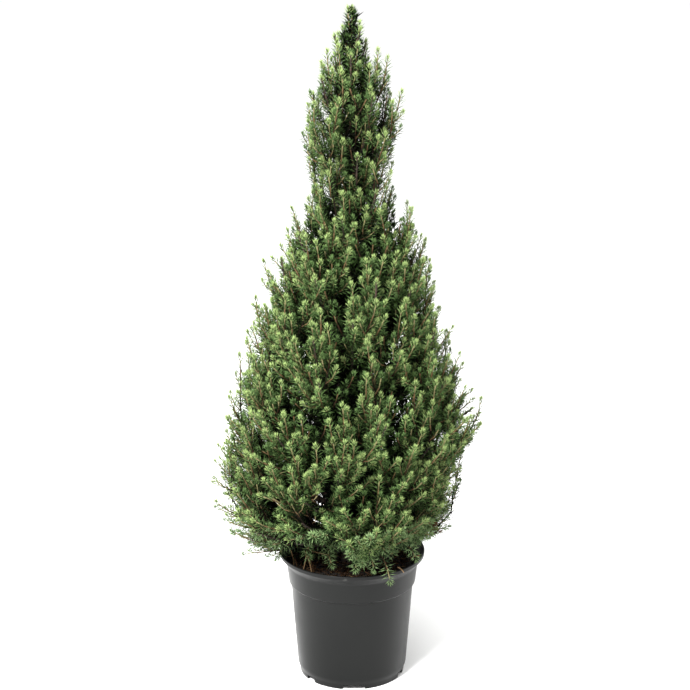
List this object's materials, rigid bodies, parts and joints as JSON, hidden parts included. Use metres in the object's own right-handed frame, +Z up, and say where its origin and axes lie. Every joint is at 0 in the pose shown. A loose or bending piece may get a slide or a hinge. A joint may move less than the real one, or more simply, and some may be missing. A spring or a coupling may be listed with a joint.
{
  "type": "potted dwarf alberta spruce",
  "caption": "A dense conical dwarf spruce with a narrow leading spire, growing in a round plastic nursery pot that stands on its flat foot",
  "frame": {"origin": "the middle of the flat pad under the pot, on the ground the pot stands on", "axes": "+Z up along the trunk, -Y the front, +X to the right as seen from the front"},
  "size_m": [0.3788, 0.3677, 0.9794],
  "materials": {
    "pot": "moulded polypropylene, dark charcoal grey with a satin sheen",
    "soil": "damp peaty potting mix, almost black brown",
    "bark": "thin flaky brown bark, tan to orange on young shoots",
    "foliage": "short fine needles, mid green with fresh yellow-green tips and dark green inside"
  },
  "bodies": {
    "root": {"nursery_pot": "pot", "potting_mix": "soil", "trunk": "bark", "bough_low_left": "bark", "bough_skirt_1": "bark", "foliage_skirt_1": "foliage", "bough_skirt_2": "bark", "foliage_skirt_2": "foliage", "bough_skirt_3": "bark", "foliage_skirt_3": "foliage", "bough_skirt_4": "bark", "foliage_skirt_4": "foliage", "bough_skirt_5": "bark", "foliage_skirt_5": "foliage", "bough_skirt_6": "bark", "foliage_skirt_6": "foliage", "bough_low_1": "bark", "foliage_low_1": "foliage", "bough_low_2": "bark", "foliage_low_2": "foliage", "bough_low_3": "bark", "foliage_low_3": "foliage", "bough_low_4": "bark", "foliage_low_4": "foliage", "bough_low_5": "bark", "foliage_low_5": "foliage", "bough_broad_1": "bark", "foliage_broad_1": "foliage", "bough_broad_2": "bark", "foliage_broad_2": "foliage", "bough_broad_3": "bark", "foliage_broad_3": "foliage", "bough_broad_4": "bark", "foliage_broad_4": "foliage", "bough_broad_5": "bark", "foliage_broad_5": "foliage", "bough_middle_1": "bark", "foliage_middle_1": "foliage", "bough_middle_2": "bark", "foliage_middle_2": "foliage", "bough_middle_3": "bark", "foliage_middle_3": "foliage", "bough_middle_4": "bark", "foliage_middle_4": "foliage", "bough_upper_1": "bark", "foliage_upper_1": "foliage", "bough_upper_2": "bark", "foliage_upper_2": "foliage", "bough_upper_3": "bark", "foliage_upper_3": "foliage", "bough_upper_4": "bark", "foliage_upper_4": "foliage", "foliage_neck_1": "foliage", "foliage_neck_2": "foliage", "foliage_neck_3": "foliage", "foliage_spire_1": "foliage", "foliage_spire_2": "foliage", "foliage_spire_3": "foliage", "foliage_leader": "foliage"}
  },
  "joints": []
}
